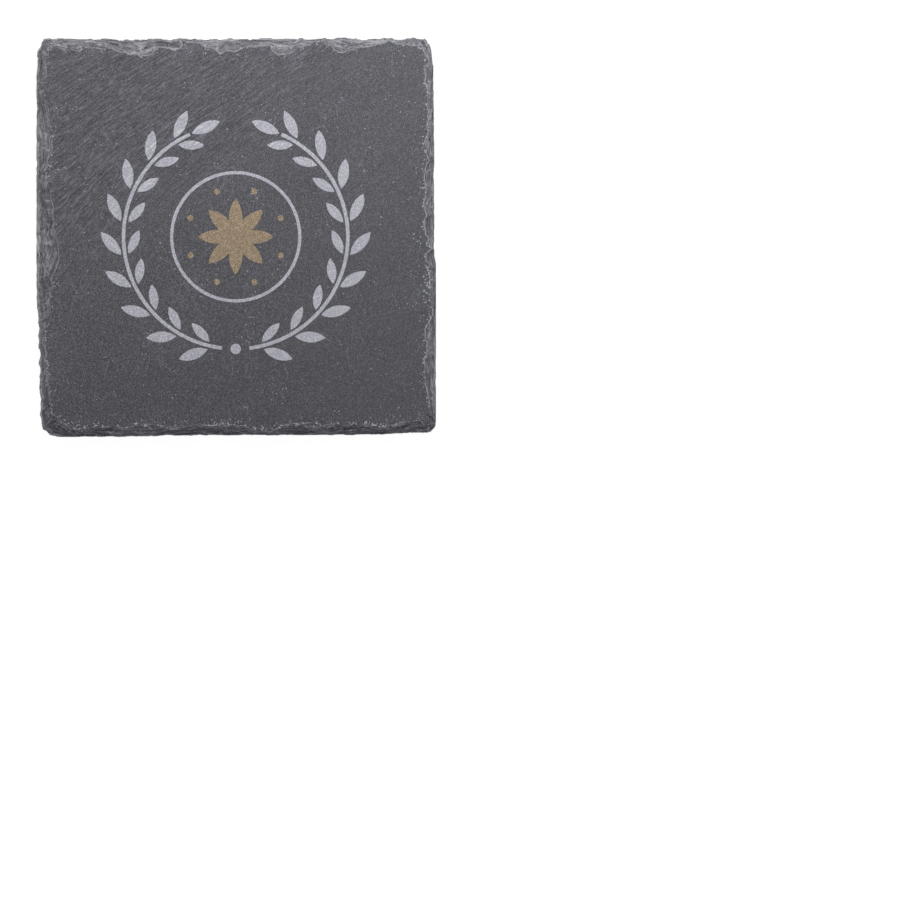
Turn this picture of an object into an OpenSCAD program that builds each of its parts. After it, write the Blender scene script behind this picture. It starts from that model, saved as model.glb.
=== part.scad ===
// Square slate drink coaster with chipped edges, four foam feet and a printed top.
// Millimetres. The origin is on the table under the middle of the coaster, +Z is up,
// and -Y is the edge that is nearest to the reader of the print.

/* [Slate slab] */
// Width of the slab, left to right
slab_w = 100; // [80:1:140]
// Depth of the slab, front to rear
slab_d = 100; // [80:1:140]
// Thickness of the slab
slab_t = 5; // [4:0.1:8]
// How far the widest chips reach in over the top face
bevel_w = 5; // [2:0.1:6]
// How far the broken outline wanders in from the true square
edge_wander = 2; // [0.5:0.1:3]
// How far the largest chip reaches in under the slab
under_chip_w = 4; // [1:0.1:6]

/* [Foam feet] */
// Diameter of a foot
foot_d = 15.5; // [10:0.1:20]
// Thickness of a foot's foam
foot_t = 2; // [1:0.1:4]
// Thickness of the adhesive film over a foot
adhesive_t = 0.15; // [0.1:0.05:0.5]
// How far the adhesive film stays back from the foam's cut edge
adhesive_margin = 0.1; // [0.05:0.05:0.5]

/* [Printed top] */
// Thickness of the ink film
ink_t = 0.06; // [0.04:0.01:0.2]
// Radius of the wreath's stem
wreath_r = 28; // [20:0.5:32]
// Width of the wreath's stem
stem_w = 0.9; // [0.5:0.1:2]
// Length of an outer leaf
leaf_l = 7.6; // [4:0.1:9]
// Width of an outer leaf
leaf_w = 2.7; // [1.5:0.1:3.5]
// Bare slate between the stem and a leaf
leaf_gap = 0.5; // [0.3:0.1:1]
// Diameter of the knot where the two branches meet
knot_d = 2.6; // [1:0.1:4]
// Radius of the thin ring inside the wreath
ring_r = 16; // [14:0.5:17]
// Width of the thin ring
ring_w = 0.8; // [0.4:0.1:1.5]
// Radius of the gold rosette
rosette_r = 9.5; // [6:0.5:10]
// Width of a petal of the rosette
petal_w = 3.4; // [2:0.1:5]
// Radius of the circle of gold berries
berry_ring_r = 12.2; // [11:0.1:12.5]
// Diameter of a berry
berry_d = 1.5; // [0.8:0.1:2]

/* [Hidden] */

half_w = slab_w / 2;
half_d = slab_d / 2;
slab_z = foot_t + adhesive_t;
top_z = slab_z + slab_t;

// Feet, by hand, so none stands quite square: place of each centre along X and Y.
foot_shares = [[-0.64, -0.65], [0.64, -0.68], [-0.67, 0.67], [0.61, 0.72]];

// The broken edge, side by side and anticlockwise seen from above. Each row is one
// corner of the break: its place along the side, how far the outline wanders in there,
// how far the top face is chipped back, and how far the underside is.
front_shares = [
    [-0.93, 0.30, 0.62, 0], [-0.85, 0, 0.38, 0], [-0.76, 0.10, 0.38, 0], [-0.66, 0.12, 0.45, 0],
    [-0.56, 0.12, 0.46, 0], [-0.49, 0.15, 0.54, 0], [-0.42, 0.22, 0.54, 0], [-0.36, 0.25, 0.32, 0],
    [-0.26, 0.28, 0.24, 0], [-0.16, 0.30, 0.37, 0], [-0.10, 0.30, 0.48, 0], [-0.04, 0.30, 0.51, 0],
    [0.03, 0.30, 0.37, 0], [0.09, 0.30, 0.23, 0], [0.17, 0.30, 0.16, 0], [0.26, 0.30, 0.40, 0],
    [0.41, 0.33, 0.39, 0], [0.53, 0.36, 0.50, 0], [0.68, 0.40, 0.46, 0], [0.74, 0.45, 0.32, 0],
    [0.84, 0.55, 0.32, 0], [0.90, 0.57, 0.52, 0], [0.954, 0.60, 0.60, 0], [0.98, 0.90, 0.60, 0]
];
right_shares = [
    [-0.944, 0.15, 0.50, 0], [-0.91, 0.03, 0.30, 0], [-0.84, 0.05, 0.32, 0], [-0.76, 0.12, 0.52, 0],
    [-0.68, 0.12, 0.54, 0], [-0.60, 0.10, 0.46, 0], [-0.52, 0.05, 0.50, 0], [-0.44, 0, 0.27, 0],
    [-0.38, 0, 0.20, 0], [-0.28, 0, 0.30, 0], [-0.16, 0.05, 0.32, 0], [-0.10, 0.15, 0.46, 0],
    [-0.06, 0.38, 0.10, 0], [-0.01, 0.35, 0.20, 0], [0.06, 0.33, 0.48, 0], [0.11, 0.33, 0.24, 0],
    [0.18, 0.33, 0.45, 0], [0.25, 0.35, 0.41, 0], [0.30, 0.40, 0.46, 0], [0.39, 0.33, 0.27, 0],
    [0.46, 0.33, 0.42, 0], [0.54, 0.38, 0.30, 0], [0.64, 0.40, 0.28, 0], [0.73, 0.43, 0.25, 0],
    [0.82, 0.43, 0.20, 0], [0.90, 0.43, 0.16, 0], [0.956, 0.73, 0.20, 0]
];
rear_shares = [
    [0.936, 0.15, 0.22, 0], [0.89, 0.10, 0.24, 0.25], [0.85, 0.08, 0.22, 0.52], [0.78, 0, 0.20, 0],
    [0.72, 0.02, 0.34, 0], [0.64, 0.05, 0.50, 0.58], [0.57, 0.08, 0.76, 0], [0.50, 0.10, 0.44, 0],
    [0.44, 0.12, 0.22, 0.60], [0.40, 0.12, 0.20, 0.82], [0.33, 0.12, 0.48, 0], [0.27, 0.14, 0.70, 0],
    [0.23, 0.15, 0.60, 0], [0.20, 0.17, 0.26, 0], [0.10, 0.18, 0.34, 0], [0.03, 0.17, 0.36, 0],
    [-0.01, 0.18, 0.56, 0], [-0.05, 0.18, 0.26, 0], [-0.10, 0.18, 0.60, 0], [-0.14, 0.18, 0.38, 0],
    [-0.19, 0.18, 0.20, 0], [-0.28, 0.18, 0.20, 0.50], [-0.38, 0.18, 0.16, 1], [-0.44, 0.22, 0.28, 0.55],
    [-0.50, 0.30, 0.60, 0], [-0.57, 0.32, 0.54, 0], [-0.64, 0.25, 0.50, 0], [-0.70, 0.25, 0.34, 0],
    [-0.76, 0.27, 0.52, 0.25], [-0.81, 0.25, 0.38, 0], [-0.88, 0.20, 0.40, 0], [-0.956, 0.15, 0.45, 0]
];
left_shares = [
    [0.934, 0.22, 0.46, 0], [0.87, 0.12, 0.50, 0], [0.82, 0.08, 0.44, 0], [0.78, 0.03, 0.12, 0],
    [0.73, 0, 0.30, 0], [0.68, 0.10, 0.54, 0], [0.62, 0.15, 0.68, 0], [0.52, 0.12, 0.78, 0],
    [0.42, 0.10, 0.66, 0], [0.36, 0.10, 0.52, 0], [0.29, 0.08, 0.50, 0], [0.21, 0.05, 0.72, 0],
    [0.08, 0.08, 0.92, 0], [0, 0.08, 0.88, 0], [-0.11, 0.05, 1, 0], [-0.16, 0.05, 0.70, 0],
    [-0.21, 0.10, 0.40, 0], [-0.28, 0.13, 0.80, 0], [-0.33, 0.15, 0.66, 0], [-0.42, 0.30, 0.44, 0],
    [-0.54, 0.33, 0.34, 0], [-0.59, 0.50, 0.32, 0], [-0.62, 0.35, 0.40, 0], [-0.69, 0.40, 0.38, 0],
    [-0.76, 0.50, 0.52, 0], [-0.81, 0.65, 0.54, 0], [-0.87, 0.52, 0.52, 0], [-0.942, 0.55, 0.58, 0]
];

// The break in section. It stands upright up to the brow, where the outline is widest.
// Above the brow the slate has parted between its layers, so the slope steps up in ledges,
// steeply at first and then more and more flatly. Shares of a ledge: the run of the riser
// between two ledges, and how far the ledges rise and fall round the slab.
brow_share = 0.25;
ledge_count = 4;
riser_share = 0.2;
drift_share = 0.42;
slope_power = 2 / 3;
// The two waves of that rise and fall: crests along X, crests along Y, and start in degrees.
drift_waves = [[2.1, 0.7, 40], [3.4, -2.3, 160]];

// One corner of the break: its place on the widest outline, then its two reaches.
edge_corners = concat(
    [for (s = front_shares) [s[0] * half_w, s[1] * edge_wander - half_d, s[2], s[3]]],
    [for (s = right_shares) [half_w - s[1] * edge_wander, s[0] * half_d, s[2], s[3]]],
    [for (s = rear_shares) [s[0] * half_w, half_d - s[1] * edge_wander, s[2], s[3]]],
    [for (s = left_shares) [s[1] * edge_wander - half_w, s[0] * half_d, s[2], s[3]]]
);
corner_count = len(edge_corners);
level_count = 2 * ledge_count + 2;

// One wave's height at a corner, from -1 to 1.
function wave(c, w) = sin(360 * (w[0] * c[0] / half_w + w[1] * c[1] / half_d) + w[2]);

// How much lower than usual the ledges lie at a corner, counted in ledges.
function drift(c) = drift_share * (wave(c, drift_waves[0]) + wave(c, drift_waves[1])) / 2;

// The edges of the ledges are numbered from the top: an even edge is the inner one of its
// ledge and an odd one the outer. An edge's place is counted in ledges down the slope.
function ledge(edge) = floor(edge / 2);
function edge_place(c, edge) =
    max(ledge(edge) + drift(c) + (edge % 2 == 0 ? riser_share / 2 : 1 - riser_share / 2), riser_share / 2);

// Height of a level of the break at a corner, as a share of the slab's thickness. The
// levels run from the underside to the brow, over the ledges' edges, to the top face.
function height_share(c, level) =
    level == 0 ? 0
    : level == 1 ? brow_share
    : level == level_count - 1 ? 1
    : 1 - (1 - brow_share) * (ledge(level_count - 2 - level) + 0.5 + drift(c)) / ledge_count;

// How far in that level lies, as a share of the chips' reach over the top face.
function reach_share(c, level) =
    level <= 1 ? 0
    : level == level_count - 1 ? 1
    : 1 - pow(edge_place(c, level_count - 2 - level) / ledge_count, slope_power);

// How far in a corner lies at a level. Only the lowest level is chipped from below.
function reach(c, level) =
    c[2] * bevel_w * reach_share(c, level) + (level == 0 ? c[3] * under_chip_w : 0);

// A corner drawn in towards the middle of the slab by its reach.
function drawn_in(c, level) = [
    c[0] * (1 - reach(c, level) / half_w),
    c[1] * (1 - reach(c, level) / half_d),
    slab_z + slab_t * height_share(c, level)
];

slab_points = concat(
    [for (level = [0 : level_count - 1]) for (c = edge_corners) drawn_in(c, level)],
    [[0, 0, slab_z], [0, 0, top_z]]
);
function point_at(level, i) = level * corner_count + i % corner_count;
under_centre = level_count * corner_count;
top_centre = under_centre + 1;
slab_faces = concat(
    [for (i = [0 : corner_count - 1]) [under_centre, point_at(0, i), point_at(0, i + 1)]],
    [for (i = [0 : corner_count - 1])
        [top_centre, point_at(level_count - 1, i + 1), point_at(level_count - 1, i)]],
    [for (level = [0 : level_count - 2]) for (i = [0 : corner_count - 1])
        [point_at(level, i), point_at(level + 1, i), point_at(level, i + 1)]],
    [for (level = [0 : level_count - 2]) for (i = [0 : corner_count - 1])
        [point_at(level, i + 1), point_at(level + 1, i), point_at(level + 1, i + 1)]]
);

// The wreath: pairs of leaves on each branch, and where on its circle a branch
// begins, carries its first and last pairs, and ends.
leaf_pairs = 9;
leaf_lean = 33;
branch_start = -83;
first_pair = -76;
last_pair = 58;
branch_end = 66;
inner_leaf_share = 0.85;
petal_count = 8;
round_facets = 96;
leaf_facets = 64;

module slate_slab() {
    color("#64646a") polyhedron(slab_points, slab_faces);
}

module foam_foot(place) {
    color("#4e4c51")
        translate([place[0] * half_w, place[1] * half_d, 0])
            cylinder(h = foot_t, d = foot_d, $fn = round_facets);
}

module adhesive_film(place) {
    color("#c9c6bb")
        translate([place[0] * half_w, place[1] * half_d, foot_t])
            cylinder(h = adhesive_t, d = foot_d - 2 * adhesive_margin, $fn = round_facets);
}

// A pointed oval along +X from the origin, where two equal circles cross.
module leaf(length, width) {
    bow = (length * length + width * width) / (4 * width);
    intersection() {
        translate([length / 2, bow - width / 2]) circle(r = bow, $fn = leaf_facets);
        translate([length / 2, width / 2 - bow]) circle(r = bow, $fn = leaf_facets);
    }
}

// A pair of leaves, one each side of the stem, that lean forward along it.
module leaf_pair() {
    for (side = [-1, 1]) {
        size_share = side > 0 ? 1 : inner_leaf_share;
        translate([wreath_r + side * (stem_w / 2 + leaf_gap), 0])
            rotate([0, 0, 90 - side * leaf_lean])
                leaf(leaf_l * size_share, leaf_w * size_share);
    }
}

module stem_arc() {
    rotate([0, 0, branch_start])
        rotate_extrude(angle = branch_end - branch_start, $fn = round_facets)
            translate([wreath_r - stem_w / 2, 0]) square([stem_w, ink_t]);
}

module branch() {
    stem_arc();
    for (pair = [0 : leaf_pairs - 1])
        rotate([0, 0, first_pair + pair * (last_pair - first_pair) / (leaf_pairs - 1)])
            linear_extrude(ink_t) leaf_pair();
    rotate([0, 0, branch_end])
        translate([wreath_r, leaf_gap, 0])
            rotate([0, 0, 90]) linear_extrude(ink_t) leaf(leaf_l, leaf_w);
}

module print_white() {
    color("#b0afba") translate([0, 0, top_z]) {
        branch();
        mirror([1, 0, 0]) branch();
        translate([0, -wreath_r, 0]) cylinder(h = ink_t, d = knot_d, $fn = round_facets);
        difference() {
            cylinder(h = ink_t, r = ring_r + ring_w / 2, $fn = round_facets);
            translate([0, 0, -ink_t])
                cylinder(h = 3 * ink_t, r = ring_r - ring_w / 2, $fn = round_facets);
        }
    }
}

module print_gold() {
    color("#94836f") translate([0, 0, top_z]) {
        linear_extrude(ink_t)
            for (petal = [0 : petal_count - 1])
                rotate([0, 0, petal * 360 / petal_count]) leaf(rosette_r, petal_w);
        for (berry = [0 : petal_count - 1])
            rotate([0, 0, (berry + 0.5) * 360 / petal_count])
                translate([berry_ring_r, 0, 0])
                    cylinder(h = ink_t, d = berry_d, $fn = round_facets);
    }
}

slate_slab();
for (i = [0 : len(foot_shares) - 1]) {
    foam_foot(foot_shares[i]);
    adhesive_film(foot_shares[i]);
}
print_white();
print_gold();
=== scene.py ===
from functools import partial

import bpy
import numpy as np
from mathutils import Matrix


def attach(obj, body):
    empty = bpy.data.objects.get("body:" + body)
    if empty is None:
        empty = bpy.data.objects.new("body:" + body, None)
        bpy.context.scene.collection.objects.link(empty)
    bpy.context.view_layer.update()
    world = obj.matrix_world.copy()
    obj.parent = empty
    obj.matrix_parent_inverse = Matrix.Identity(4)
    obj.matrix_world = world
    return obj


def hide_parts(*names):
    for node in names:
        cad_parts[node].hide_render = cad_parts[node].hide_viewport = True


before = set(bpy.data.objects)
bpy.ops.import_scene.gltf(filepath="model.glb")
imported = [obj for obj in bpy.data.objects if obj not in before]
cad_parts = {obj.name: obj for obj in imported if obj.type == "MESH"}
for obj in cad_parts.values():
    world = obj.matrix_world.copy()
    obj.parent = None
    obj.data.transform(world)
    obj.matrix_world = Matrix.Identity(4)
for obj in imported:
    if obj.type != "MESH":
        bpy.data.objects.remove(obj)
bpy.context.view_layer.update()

# ---- Slate slab ------------------------------
# One piece of natural slate, split by hand along its cleavage to about 5 mm. Its sides are
# broken off with a dressing blade, which leaves a slope of small shell-shaped scars that
# steps down from the printed face, over a short upright wall above the underside.
MM = 0.001
SLAB_HALF = 50.0     # mm, half the widest outline
SLAB_BOTTOM = 2.15   # mm, on foam and adhesive
SLAB_TOP = 7.15
BROW = 3.4           # mm, where the slope meets the wall, on average
OUTLINE_WANDER = 2.0
SLOPE_REACH = 5.0
UNDER_REACH = 4.0

# The break, side by side and anticlockwise seen from above. Each row, in percent: the place
# along the side, the wander of the outline, the reach of the slope and, at the rear alone, the
# reach of the chips under the slab.
FRONT_BREAK = np.array([
    (-93, 30, 62), (-85, 0, 38), (-76, 10, 38), (-66, 12, 45), (-56, 12, 46), (-49, 15, 54),
    (-42, 22, 54), (-36, 25, 32), (-26, 28, 24), (-16, 30, 37), (-10, 30, 48), (-4, 30, 51),
    (3, 30, 37), (9, 30, 23), (17, 30, 16), (26, 30, 40), (41, 33, 39), (53, 36, 50),
    (68, 40, 46), (74, 45, 32), (84, 55, 32), (90, 57, 52), (95.4, 60, 60), (98, 90, 60),
]) / 100
RIGHT_BREAK = np.array([
    (-94.4, 15, 50), (-91, 3, 30), (-84, 5, 32), (-76, 12, 52), (-68, 12, 54), (-60, 10, 46),
    (-52, 5, 50), (-44, 0, 27), (-38, 0, 20), (-28, 0, 30), (-16, 5, 32), (-10, 15, 46),
    (-6, 38, 10), (-1, 35, 20), (6, 33, 48), (11, 33, 24), (18, 33, 45), (25, 35, 41),
    (30, 40, 46), (39, 33, 27), (46, 33, 42), (54, 38, 30), (64, 40, 28), (73, 43, 25),
    (82, 43, 20), (90, 43, 16), (95.6, 73, 20),
]) / 100
REAR_BREAK = np.array([
    (93.6, 15, 22, 0), (89, 10, 24, 25), (85, 8, 22, 52), (78, 0, 20, 0), (72, 2, 34, 0),
    (64, 5, 50, 58), (57, 8, 76, 0), (50, 10, 44, 0), (44, 12, 22, 60), (40, 12, 20, 82),
    (33, 12, 48, 0), (27, 14, 70, 0), (23, 15, 60, 0), (20, 17, 26, 0), (10, 18, 34, 0),
    (3, 17, 36, 0), (-1, 18, 56, 0), (-5, 18, 26, 0), (-10, 18, 60, 0), (-14, 18, 38, 0),
    (-19, 18, 20, 0), (-28, 18, 20, 50), (-38, 18, 16, 100), (-44, 22, 28, 55), (-50, 30, 60, 0),
    (-57, 32, 54, 0), (-64, 25, 50, 0), (-70, 25, 34, 0), (-76, 27, 52, 25), (-81, 25, 38, 0),
    (-88, 20, 40, 0), (-95.6, 15, 45, 0),
]) / 100
LEFT_BREAK = np.array([
    (93.4, 22, 46), (87, 12, 50), (82, 8, 44), (78, 3, 12), (73, 0, 30), (68, 10, 54),
    (62, 15, 68), (52, 12, 78), (42, 10, 66), (36, 10, 52), (29, 8, 50), (21, 5, 72), (8, 8, 92),
    (0, 8, 88), (-11, 5, 100), (-16, 5, 70), (-21, 10, 40), (-28, 13, 80), (-33, 15, 66),
    (-42, 30, 44), (-54, 33, 34), (-59, 50, 32), (-62, 35, 40), (-69, 40, 38), (-76, 50, 52),
    (-81, 65, 54), (-87, 52, 52), (-94.2, 55, 58),
]) / 100
corners = []
for rows, out_x, out_y in ((FRONT_BREAK, 0, -1), (RIGHT_BREAK, 1, 0), (REAR_BREAK, 0, 1),
                           (LEFT_BREAK, -1, 0)):
    rows = np.pad(rows, ((0, 0), (0, 4 - rows.shape[1])))
    along, out = rows[:, 0] * SLAB_HALF, SLAB_HALF - rows[:, 1] * OUTLINE_WANDER
    corners.append(np.c_[out * out_x + along * abs(out_y), out * out_y + along * abs(out_x),
                         rows[:, 2:]])
corners = np.vstack(corners)


def square_walk(count):
    """Even steps round the square from -1 to 1, anticlockwise from its front left corner: the
    whole part of the step's share of four sides picks the side, the rest runs along it."""
    share = np.arange(count) * 4 / count
    side, along = share.astype(int), share % 1 * 2 - 1
    ones = np.ones(count)
    return np.stack([np.choose(side, [along, ones, -along, -ones]),
                     np.choose(side, [-ones, along, ones, -along])], 1)


def crossed(p, q):
    """Cross product in the plane: px * qy - py * qx."""
    return p[..., 0] * q[..., 1] - p[..., 1] * q[..., 0]


def meet_outline(walk, outline):
    """Where the ray through each step q meets the outline. It meets the edge from A to B whose
    share s = (A x q) / (q x (B - A)) is between 0 and 1, at q times A x (B - A) / (q x (B - A)).
    Gives that factor, the edge's number and s."""
    edge_run = np.roll(outline, -1, 0) - outline
    turn = crossed(walk[:, None], edge_run)
    share = crossed(outline, walk[:, None]) / turn
    factor = crossed(outline, edge_run) / turn
    met = (share > -1e-9) & (share < 1 + 1e-9) & (factor > 0)
    edge = met.argmax(1)
    pick = np.arange(len(walk)), edge
    return factor[pick], edge, share[pick]


def scalloped(values, edge, share):
    """A reach along the break, from each corner's value to the next one's: a quarter of a wave
    that leaves the smaller value steeply and meets the larger one level, so that scars are
    round on the inside and meet in points."""
    start, end = values[edge], np.roll(values, -1)[edge]
    rise = np.sin(share * np.pi / 2)
    fall = np.cos(share * np.pi / 2)
    return np.where(end > start, start + (end - start) * rise, end + (start - end) * fall)


def ripples(x, y, seed, shortest, longest, heading=None, spread=0.3, count=28):
    """A sum of seeded plane waves: sum of h * cos(k . (x, y) + phase), with wavelengths between
    the two in mm, h in proportion to the wavelength, and crests that run in any direction or
    within `spread` radians of `heading`. It is scaled to a standard deviation of a third."""
    rng = np.random.default_rng(seed)
    length = shortest * (longest / shortest) ** rng.random(count)
    if heading is None:
        crest = rng.random(count) * np.pi
    else:
        crest = heading + spread * (rng.random(count) * 2 - 1)
    phase = rng.random(count) * 2 * np.pi
    height = length / np.sqrt((length ** 2).sum() / 2) / 3
    total = np.zeros(np.broadcast(x, y).shape)
    for k, c, p, h in zip(2 * np.pi / length, crest, phase, height):
        total += h * np.cos(k * (y * np.cos(c) - x * np.sin(c)) + p)
    return total


def eased(t):
    """The curve t * t * (3 - 2 t) between 0 and 1, level at both ends."""
    t = np.clip(t, 0, 1)
    return t * t * (3 - 2 * t)


CLEAVAGE_HEADING = np.radians(30)
FACE_DIP, FACE_SWELL, FACE_STEP = 0.08, 0.07, 0.02     # mm: mean depth of the relief, its waves
FACE_SKIN = 0.003                                      # mm that the face stays below the top


def face_height(x, y):
    """Height of the split face: the top plane less a relief of soft swells, and of long low
    steps that follow the cleavage."""
    swells = ripples(x, y, 3, 14, 50)
    steps = ripples(x, y, 4, 5, 12, CLEAVAGE_HEADING, 0.22)
    return SLAB_TOP - np.maximum(FACE_DIP + FACE_SWELL * swells + FACE_STEP * steps, FACE_SKIN)


FOOT_PLACES = np.array([(-32, -32.5), (32, -34), (-33.5, 33.5), (30.5, 36)])  # mm
FOOT_CLEAR, FOOT_FADE = 8.2, 4     # mm: flat ground from a foot's middle, and where it runs out
UNDER_DIP, UNDER_WAVE = 0.06, 0.05


def underside_height(x, y):
    """Height of the underside: the bottom plane plus a relief that fades to nought where the
    four feet are stuck on."""
    waves = ripples(x, y, 6, 6, 30, np.pi - CLEAVAGE_HEADING, 0.5)
    bare = 1.0
    for foot_x, foot_y in FOOT_PLACES:
        bare = bare * eased((np.hypot(x - foot_x, y - foot_y) - FOOT_CLEAR) / FOOT_FADE)
    return SLAB_BOTTOM + bare * np.maximum(UNDER_DIP + UNDER_WAVE * waves, 0)


SCARS = 1300
SCAR_LEAST, SCAR_MOST = 0.7, 4.3     # mm; small scars are the most common
SCAR_WIDE, SCAR_TALL, SCAR_CUT = (1.0, 1.9), (0.32, 0.52), (0.08, 0.19)     # times its size
SCAR_LEAN = 0.3
FAR_OUT = -1.2     # mm inside a rim, for a place that lies well outside


def scar_depth(around, up, slope_length, wall_length, seed):
    """How deep the shell-shaped scars cut: the largest of d * (1 - (a / ra)^2 - (u / ru)^2) over
    all of them, where a runs round the slab and u up the break from the brow, both in mm. Gives
    the second largest too, because two scars meet in a ridge where both are equal, and the
    distance inside the nearest rim in mm: that bracket over the length of its slope, which is
    2 * sqrt((a / ra^2)^2 + (u / ru^2)^2)."""
    rng = np.random.default_rng(seed)
    lap = 8 * SLAB_HALF
    depth, second, rim = np.zeros(up.shape), np.zeros(up.shape), np.full(up.shape, FAR_OUT)
    size = np.minimum(SCAR_LEAST * rng.random(SCARS) ** -0.5, SCAR_MOST)
    place = rng.random(SCARS) * lap
    height = rng.random(SCARS)
    width, tall = size * rng.uniform(*SCAR_WIDE, SCARS), size * rng.uniform(*SCAR_TALL, SCARS)
    cut = size * rng.uniform(*SCAR_CUT, SCARS)
    lean = rng.uniform(-SCAR_LEAN, SCAR_LEAN, SCARS)
    for a0, h, ra, ru, d, slant in zip(place, height, width, tall, cut, lean):
        a = (around - a0 + lap / 2) % lap - lap / 2
        near = np.abs(a) < 2 * ra
        column = int(a0 / lap * len(around)) % len(around)
        # It sits anywhere from just below the wall to a third of its height under the face.
        low, high = -wall_length[column] - 0.2, slope_length[column] - 0.35 * ru
        u = up[:, near] - (low + (high - low) * h) - slant * a[near]
        inside = 1 - (a[near] / ra) ** 2 - (u / ru) ** 2
        steepness = 2 * np.hypot(a[near] / ra ** 2, u / ru ** 2)
        rim[:, near] = np.maximum(rim[:, near], inside / np.maximum(steepness, 0.4))
        second[:, near] = np.maximum(second[:, near], np.minimum(inside * d, depth[:, near]))
        depth[:, near] = np.maximum(depth[:, near], inside * d)
    return depth, second, rim


def stepped(height, layer, riser):
    """Cleavage layers: the height drawn to treads one layer apart, with risers between them
    that take the share `riser` of a layer."""
    whole = np.floor(height / layer)
    rest = height / layer - whole
    return (whole + eased((rest - 0.5) / riser + 0.5)) * layer


# Rings of points run round the slab: over the margin of the top face, down the slope, down
# the wall and back under the slab, between an even grid on each face.
ROUND = 1600         # points in a ring
GRID = 100           # squares along a side of each face's grid
GRID_HALF = 42.0
MARGIN_RINGS, SLOPE_RINGS, WALL_RINGS, UNDER_RINGS = 12, 26, 7, 6
edge_ring = MARGIN_RINGS - 1
brow_ring = edge_ring + SLOPE_RINGS
base_ring = brow_ring + WALL_RINGS
walk = square_walk(ROUND)
widest, edge, share = meet_outline(walk, corners[:, :2])
soft = np.hanning(11)[1:-1] / np.hanning(11).sum()      # rounds the outline's corners over 2 mm
widest = np.convolve(np.pad(widest, 4, mode="wrap"), soft, "valid")
block_edge = (walk * SLAB_HALF).T
# How much a place belongs to each side: all within 3 mm of it, and not at all from 9 mm off.
at_right, at_rear = eased(walk.T * 8 - 6.5)
at_left, at_front = eased(-walk.T * 8 - 6.5)

# The outline is nicked all round, most at the left, and flaked at the front and the rear.
# The face's edge crumbles too. The cuts are in mm, times waves of about a third.
BURR, NICK, NICK_LEFT, FLAKE_FRONT, FLAKE_REAR = 0.30, 0.22, 0.23, 0.2, 0.55
CRUMB, CRUMB_MEAN, LEAST_REACH = 0.55, 0.35, 0.35
nicks = np.abs(ripples(*block_edge, 14, 2.5, 9))
nicks = nicks + 0.3 * np.abs(ripples(*block_edge, 15, 0.8, 2.2))
flakes = np.abs(stepped(ripples(*block_edge, 18, 3, 11), 0.4, 0.12))
nicked = (NICK + NICK_LEFT * at_left) * nicks
flaked = (FLAKE_FRONT * at_front + FLAKE_REAR * at_rear) * flakes
widest = widest * (1 + (BURR - nicked - flaked) / SLAB_HALF)
crumbs = np.abs(ripples(*block_edge, 11, 0.9, 4))
crumbs = crumbs + 0.6 * np.abs(ripples(*block_edge, 16, 0.6, 1.5))
reach = SLOPE_REACH * scalloped(corners[:, 2], edge, share) + CRUMB * (crumbs - CRUMB_MEAN)
reach = np.maximum(reach, LEAST_REACH)
under = UNDER_REACH * scalloped(corners[:, 3], edge, share)
brow = BROW + 0.45 * ripples(*block_edge, 12, 5, 24)
face_edge = widest * (1 - reach / SLAB_HALF)
foot_edge = widest * (1 - under / SLAB_HALF)

# The powers draw rings together at the face's edge, and bow the slope, the wall and the chips.
margin_t = 1 - (1 - np.arange(1, MARGIN_RINGS + 1) / MARGIN_RINGS)[:, None] ** 1.7
slope_t = (np.arange(1, SLOPE_RINGS + 1) / SLOPE_RINGS)[:, None] ** 0.9
wall_t = (np.arange(1, WALL_RINGS + 1) / WALL_RINGS)[:, None]
under_t = (np.arange(1, UNDER_RINGS + 1) / UNDER_RINGS)[:, None]
radius = np.vstack([
    GRID_HALF + (face_edge - GRID_HALF) * margin_t,
    face_edge + (widest - face_edge) * slope_t,
    widest + (foot_edge - widest) * wall_t ** 1.5,
    foot_edge + (GRID_HALF - foot_edge) * under_t ** 1.3,
])
x, y = radius * walk[:, 0], radius * walk[:, 1]
z = face_height(x, y)
z[edge_ring + 1:brow_ring + 1] = z[edge_ring] + (brow - z[edge_ring]) * slope_t ** 1.5
z[brow_ring + 1:base_ring + 1] = brow + (SLAB_BOTTOM - brow) * wall_t
z[base_ring + 1:] = underside_height(x[base_ring + 1:], y[base_ring + 1:])
skin = np.stack([x, y, z], 2)


def outward(skin):
    """Unit normals of the rings: the cross product of the steps down and round."""
    down = np.gradient(skin, axis=0)
    along = np.roll(skin, -1, 1) - np.roll(skin, 1, 1)
    normal = np.cross(down, along)
    return normal / np.maximum(np.linalg.norm(normal, axis=2, keepdims=True), 1e-9)


ring_step = np.linalg.norm(np.diff(skin, axis=0, prepend=skin[:1]), axis=2)
travelled = np.cumsum(ring_step, 0)
up = travelled[brow_ring] - travelled
around = np.arange(ROUND) * 8 * SLAB_HALF / ROUND
scars, second_scars, rim = scar_depth(around, up, up[edge_ring], -up[base_ring], 21)
# A scar bites less into the brow itself, most of all at the front and the sides.
spared = 1 - (0.75 - 0.35 * at_rear) * eased(1 - np.abs(up) / 1.3)
skin = skin - outward(skin) * (scars * spared)[..., None]

# Fresh stone: how far a point lies inside the break or inside a scar, in mm.
inward = np.maximum(travelled[edge_ring] - travelled, travelled - travelled[base_ring])
fresh = np.maximum(rim, -inward)
broken = eased(fresh / 0.2 + 0.5)

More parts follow.
